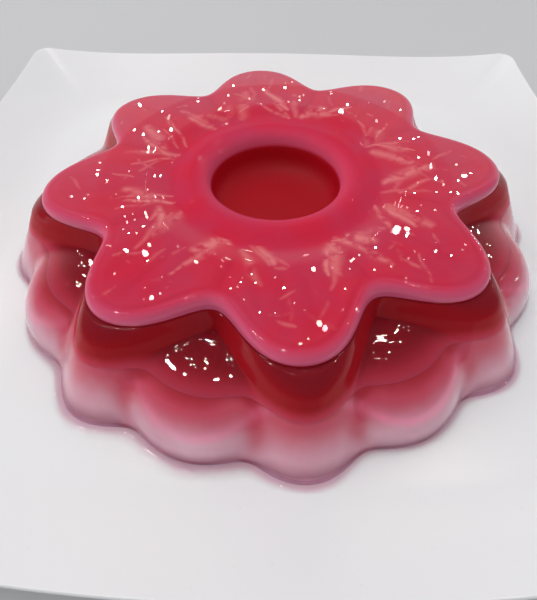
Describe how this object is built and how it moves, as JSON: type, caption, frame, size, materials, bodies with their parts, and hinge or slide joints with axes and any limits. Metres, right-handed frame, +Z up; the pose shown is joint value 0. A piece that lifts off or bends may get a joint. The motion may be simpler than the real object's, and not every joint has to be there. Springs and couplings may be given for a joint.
{
  "type": "moulded jelly on a square plate",
  "caption": "Layered flower-shaped moulded jelly dessert with a round central recess, lying on a square coupe plate with raised corners.",
  "frame": {"origin": "centre of the plate, on the surface that it stands on", "axes": "+Z up, X and Y along the plate's sides, -Y towards the front"},
  "size_m": [0.2998, 0.2998, 0.0468],
  "materials": {
    "white_porcelain": "glazed white porcelain",
    "pale_jelly": "wet milky pink jelly",
    "red_jelly": "wet clear red jelly",
    "pink_jelly": "wet opaque crimson-pink jelly"
  },
  "bodies": {
    "root": {"plate": "white_porcelain", "pale_layer": "pale_jelly", "red_layer": "red_jelly", "pink_flower": "pink_jelly"}
  },
  "joints": []
}
